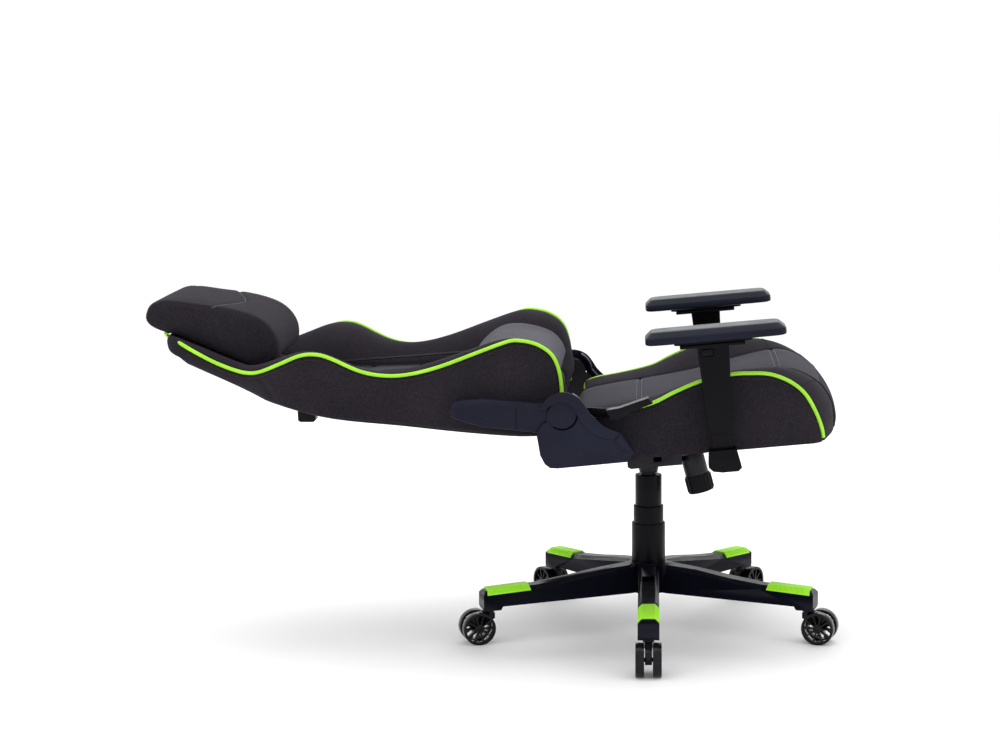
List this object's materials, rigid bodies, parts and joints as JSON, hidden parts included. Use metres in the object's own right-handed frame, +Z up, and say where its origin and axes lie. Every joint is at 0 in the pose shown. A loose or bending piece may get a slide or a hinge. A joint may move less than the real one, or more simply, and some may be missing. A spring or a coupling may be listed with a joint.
{
  "type": "gaming chair",
  "caption": "Reclining racing-style gaming chair laid back flat: bucket seat and back with lime piping, head and lumbar pillows, height-adjustable arms, gas lift, star base on castors.",
  "frame": {"origin": "on the floor, on the axis of the gas lift", "axes": "+X forwards as the sitter faces, +Y to the sitter's left, +Z up"},
  "size_m": [1.3162, 0.7004, 0.669],
  "materials": {
    "base_nylon": "moulded glass-filled nylon, satin black",
    "castor_black": "glossy black nylon",
    "grip_green": "soft lime-green grip with slanted raised panels",
    "cover_black": "satin navy-black moulded plastic",
    "sleeve_black": "satin black plastic",
    "knob_black": "satin black, ribbed",
    "pad_black": "dense soft black polyurethane",
    "painted_steel": "black powder coat",
    "bright_steel": "zinc-plated or ground steel",
    "fabric_dark": "near-black charcoal woven fabric over foam",
    "fabric_panel": "charcoal woven fabric over foam",
    "fabric_grey": "mid-grey woven fabric over foam",
    "webbing_black": "black woven webbing"
  },
  "bodies": {
    "base": {"star_base": "base_nylon", "foot_grips": "grip_green", "caster_stems": "bright_steel", "lift_cylinder": "painted_steel", "cover_lower": "sleeve_black"},
    "lift_rod": {"lift_rod": "bright_steel", "rod_bearing": "bright_steel"},
    "middle_sleeve": {"cover_middle": "sleeve_black"},
    "mechanism": {"cover_upper": "sleeve_black", "lift_piston": "painted_steel", "tilt_housing": "painted_steel", "tilt_spring": "bright_steel", "tilt_pin": "bright_steel"},
    "valve_pin": {"valve_pin": "bright_steel"},
    "tension_knob": {"tension_knob": "knob_black"},
    "height_lever": {"height_lever": "sleeve_black"},
    "seat": {"seat_plate": "painted_steel", "seat_frame": "painted_steel", "seat_webbing": "webbing_black", "mounting_bolts": "bright_steel", "seat_cushion": "fabric_panel", "seat_bolster_left": "fabric_dark", "seat_bolster_right": "fabric_dark", "hinge_plates": "painted_steel", "pivot_pins": "bright_steel", "side_cover_left": "cover_black", "side_cover_right": "cover_black", "recline_springs": "bright_steel", "arm_brackets": "painted_steel", "arm_boots": "sleeve_black", "arm_posts": "sleeve_black"},
    "recline_lever": {"recline_lever": "sleeve_black"},
    "backrest": {"recline_arms": "painted_steel", "bracket_cover_left": "cover_black", "bracket_cover_right": "cover_black", "back_frame": "painted_steel", "back_shell": "fabric_dark", "back_cushion": "fabric_panel", "back_bolster_left": "fabric_dark", "back_bolster_right": "fabric_dark", "pillow_straps": "webbing_black", "strap_buckles": "sleeve_black"},
    "head_pillow": {"head_pillow": "fabric_dark"},
    "lumbar_pillow": {"lumbar_pillow": "fabric_grey"},
    "arm_right": {"arm_sleeve_right": "cover_black"},
    "arm_left": {"arm_sleeve_left": "cover_black"},
    "button_right": {"arm_button_right": "knob_black"},
    "button_left": {"arm_button_left": "knob_black"},
    "pad_right": {"arm_pad_right": "pad_black"},
    "pad_left": {"arm_pad_left": "pad_black"},
    "castor_1": {"caster_fork_1": "castor_black"},
    "wheels_1": {"caster_wheels_1": "castor_black"},
    "castor_2": {"caster_fork_2": "castor_black"},
    "wheels_2": {"caster_wheels_2": "castor_black"},
    "castor_3": {"caster_fork_3": "castor_black"},
    "wheels_3": {"caster_wheels_3": "castor_black"},
    "castor_4": {"caster_fork_4": "castor_black"},
    "wheels_4": {"caster_wheels_4": "castor_black"},
    "castor_5": {"caster_fork_5": "castor_black"},
    "wheels_5": {"caster_wheels_5": "castor_black"}
  },
  "joints": [
    {"name": "seat_swivel", "type": "hinge", "parent": "base", "child": "lift_rod", "pos_m": [0, 0, 0.1], "axis": [0, 0, 1], "continuous": true},
    {"name": "gas_lift", "type": "slide", "parent": "lift_rod", "child": "mechanism", "axis": [0, 0, 1], "range_m": [-0.08, 0], "stiffness_N_per_m": 500, "springref_m": 0.8},
    {"name": "middle_sleeve_slide", "type": "slide", "parent": "base", "child": "middle_sleeve", "axis": [0, 0, 1], "range_m": [-0.04, 0]},
    {"name": "height_lever", "type": "hinge", "parent": "mechanism", "child": "height_lever", "pos_m": [-0.00235, 0.052, 0.3569], "axis": [0.9962, 0, 0.0872], "range_deg": [0, 6], "stiffness_Nm_per_rad": 8, "springref_deg": -6.88},
    {"name": "valve_press", "type": "slide", "parent": "mechanism", "child": "valve_pin", "axis": [0, 0, -1], "range_m": [0, 0.0061]},
    {"name": "tension_knob", "type": "hinge", "parent": "mechanism", "child": "tension_knob", "pos_m": [0.08445, 0, 0.35144], "axis": [-0.2588, 0, 0.9659], "range_deg": [0, 1080]},
    {"name": "seat_tilt", "type": "hinge", "parent": "mechanism", "child": "seat", "pos_m": [0.03507, 0, 0.36519], "axis": [0, -1, 0], "range_deg": [0, 12], "stiffness_Nm_per_rad": 400, "springref_deg": -11.46},
    {"name": "recline", "type": "hinge", "parent": "seat", "child": "backrest", "pos_m": [-0.15731, 0, 0.47585], "axis": [0, 1, 0], "range_deg": [0, 85]},
    {"name": "recline_lever", "type": "hinge", "parent": "seat", "child": "recline_lever", "pos_m": [-0.15731, 0, 0.47585], "axis": [0, -1, 0], "range_deg": [0, 18], "stiffness_Nm_per_rad": 3, "springref_deg": -14.32},
    {"name": "head_pillow_slide", "type": "slide", "parent": "backrest", "child": "head_pillow", "axis": [-0.9226, 0, 0.3858], "range_m": [0, 0.03]},
    {"name": "lumbar_slide", "type": "slide", "parent": "backrest", "child": "lumbar_pillow", "axis": [-0.9971, 0, -0.0767], "range_m": [0, 0.05]},
    {"name": "arm_height_right", "type": "slide", "parent": "seat", "child": "arm_right", "axis": [-0.0872, 0, 0.9962], "range_m": [0, 0.07]},
    {"name": "arm_button_right", "type": "slide", "parent": "arm_right", "child": "button_right", "axis": [0, 1, 0], "range_m": [0, 0.003], "stiffness_N_per_m": 400, "springref_m": -0.004},
    {"name": "pad_slide_right", "type": "slide", "parent": "arm_right", "child": "pad_right", "axis": [0.9962, 0, 0.0872], "range_m": [-0.015, 0.03]},
    {"name": "arm_height_left", "type": "slide", "parent": "seat", "child": "arm_left", "axis": [-0.0872, 0, 0.9962], "range_m": [0, 0.07]},
    {"name": "arm_button_left", "type": "slide", "parent": "arm_left", "child": "button_left", "axis": [0, -1, 0], "range_m": [0, 0.003], "stiffness_N_per_m": 400, "springref_m": -0.004},
    {"name": "pad_slide_left", "type": "slide", "parent": "arm_left", "child": "pad_left", "axis": [0.9962, 0, 0.0872], "range_m": [-0.015, 0.03]},
    {"name": "castor_swivel_1", "type": "hinge", "parent": "base", "child": "castor_1", "pos_m": [0, -0.325, 0.055], "axis": [0, 0, 1], "continuous": true},
    {"name": "wheel_spin_1", "type": "hinge", "parent": "castor_1", "child": "wheels_1", "pos_m": [0, -0.348, 0.0314], "axis": [1, 0, 0], "continuous": true},
    {"name": "castor_swivel_2", "type": "hinge", "parent": "base", "child": "castor_2", "pos_m": [0.30909, -0.10043, 0.055], "axis": [0, 0, 1], "continuous": true},
    {"name": "wheel_spin_2", "type": "hinge", "parent": "castor_2", "child": "wheels_2", "pos_m": [0.33097, -0.10754, 0.0314], "axis": [0.309, 0.9511, 0], "continuous": true},
    {"name": "castor_swivel_3", "type": "hinge", "parent": "base", "child": "castor_3", "pos_m": [0.19103, 0.26293, 0.055], "axis": [0, 0, 1], "continuous": true},
    {"name": "wheel_spin_3", "type": "hinge", "parent": "castor_3", "child": "wheels_3", "pos_m": [0.20455, 0.28154, 0.0314], "axis": [-0.809, 0.5878, 0], "continuous": true},
    {"name": "castor_swivel_4", "type": "hinge", "parent": "base", "child": "castor_4", "pos_m": [-0.19103, 0.26293, 0.055], "axis": [0, 0, 1], "continuous": true},
    {"name": "wheel_spin_4", "type": "hinge", "parent": "castor_4", "child": "wheels_4", "pos_m": [-0.20455, 0.28154, 0.0314], "axis": [-0.809, -0.5878, 0], "continuous": true},
    {"name": "castor_swivel_5", "type": "hinge", "parent": "base", "child": "castor_5", "pos_m": [-0.30909, -0.10043, 0.055], "axis": [0, 0, 1], "continuous": true},
    {"name": "wheel_spin_5", "type": "hinge", "parent": "castor_5", "child": "wheels_5", "pos_m": [-0.33097, -0.10754, 0.0314], "axis": [0.309, -0.9511, 0], "continuous": true}
  ],
  "couplings": [
    {"joint": "middle_sleeve_slide", "follows": "gas_lift", "ratio": 0.5},
    {"joint": "valve_press", "follows": "height_lever", "m_per_rad": 0.0575}
  ]
}
